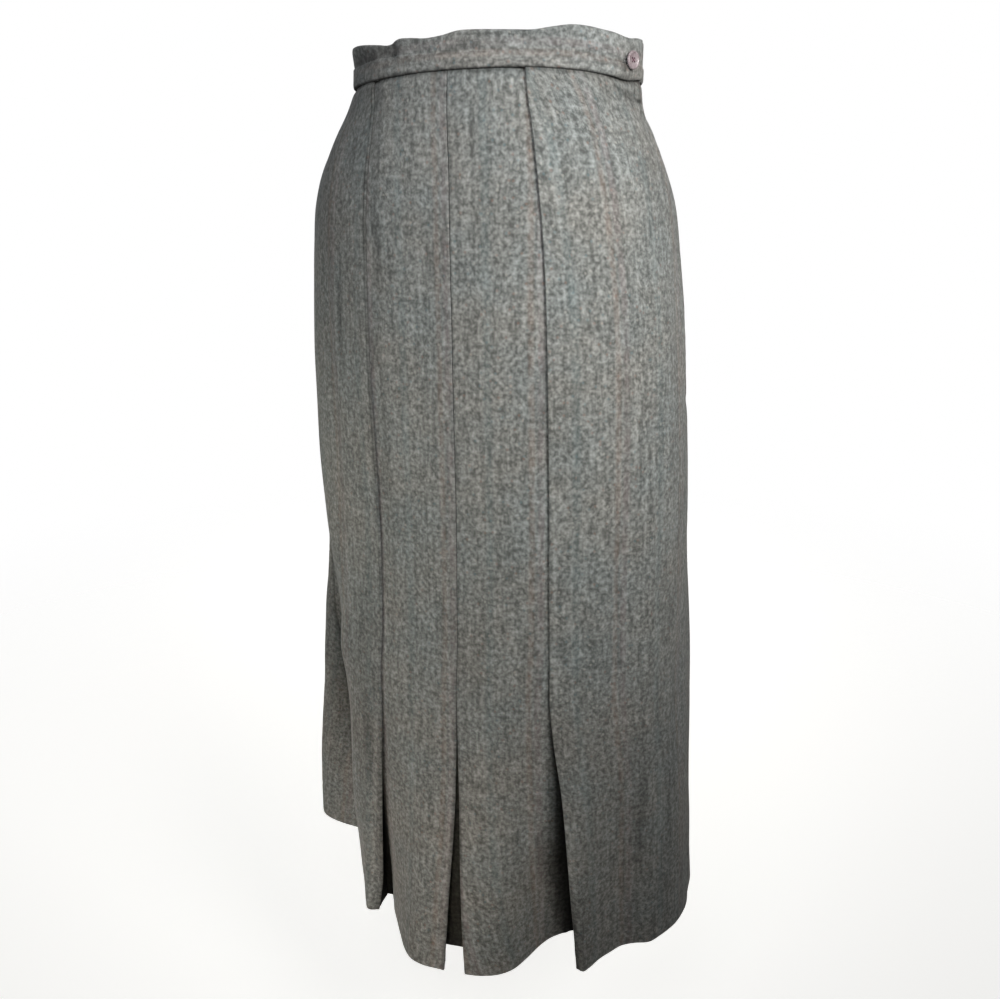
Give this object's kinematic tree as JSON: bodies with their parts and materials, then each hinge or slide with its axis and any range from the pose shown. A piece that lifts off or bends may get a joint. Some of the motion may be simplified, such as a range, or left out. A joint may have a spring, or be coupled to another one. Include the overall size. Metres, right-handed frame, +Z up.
{
  "type": "long wool skirt",
  "caption": "Long flared wool skirt with a shaped waistband, a side button, gored panels and pleats opening at the front hem, in its worn hollow form.",
  "frame": {"origin": "the middle of the wearer's waist, at the height of the seam that joins the waistband to the gores", "axes": "+Z up, -Y towards the skirt's front, +X towards the wearer's left, where the button is"},
  "size_m": [0.4416, 0.3406, 0.833],
  "materials": {
    "grey_tweed": "soft mottled grey wool tweed with faint rust and teal threads",
    "grey_tweed_underlay": "the same wool tweed, shaded inside the pleat",
    "grey_tweed_band": "the same wool tweed cut across, pressed firm",
    "mauve_horn": "satin mauve resin made to look like horn"
  },
  "bodies": {
    "root": {"waistband": "grey_tweed_band", "front_centre_right": "grey_tweed", "front_centre_left": "grey_tweed", "front_side_right": "grey_tweed", "front_side_left": "grey_tweed", "back_right": "grey_tweed", "back_left": "grey_tweed", "pleat_underlay": "grey_tweed_underlay", "button": "mauve_horn"}
  },
  "joints": []
}
